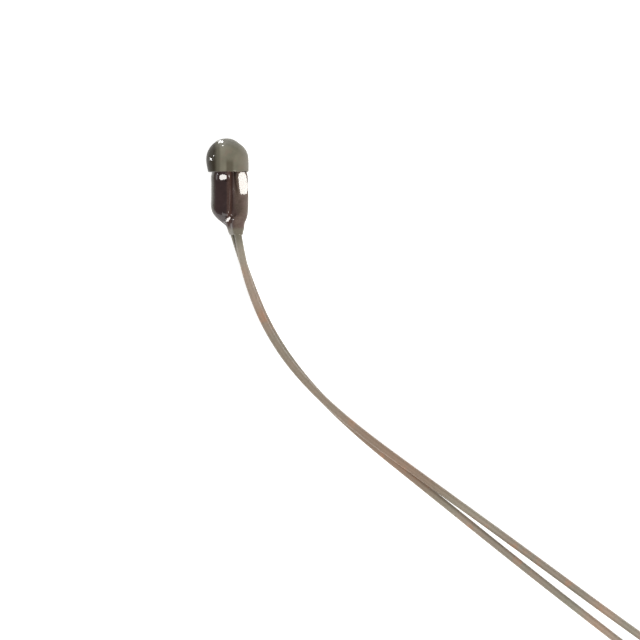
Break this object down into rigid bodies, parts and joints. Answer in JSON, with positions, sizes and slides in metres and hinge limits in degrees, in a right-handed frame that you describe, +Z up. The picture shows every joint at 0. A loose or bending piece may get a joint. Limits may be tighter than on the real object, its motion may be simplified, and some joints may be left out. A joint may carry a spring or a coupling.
{
  "type": "ntc thermistor",
  "caption": "Resin-dipped bead temperature sensor with a ceramic die inside and two fine enamelled copper leads with tinned tips.",
  "frame": {"origin": "on the surface that the part lies on, under the middle of the resin coat", "axes": "+Y along the resin coat towards its domed end, +Z up from the surface, +X towards the right lead"},
  "size_m": [0.0386, 0.0258, 0.0014],
  "materials": {
    "resin": "glossy dipped epoxy, dark brown with a grey-olive dome",
    "ceramic": "sintered oxide ceramic, dark grey",
    "electrode": "fired silver, matt",
    "solder": "satin solder",
    "copper": "bare copper",
    "enamelled_copper": "clear brown enamel over copper",
    "tin": "solder-dipped, bright"
  },
  "bodies": {
    "root": {"resin_coat": "resin", "ceramic_die": "ceramic", "electrode_left": "electrode", "electrode_right": "electrode", "solder_joint_left": "solder", "solder_joint_right": "solder", "bare_end_left": "copper", "bare_end_right": "copper", "lead_wire_left": "enamelled_copper", "lead_wire_right": "enamelled_copper", "tinned_tip_left": "tin", "tinned_tip_right": "tin"}
  },
  "joints": []
}
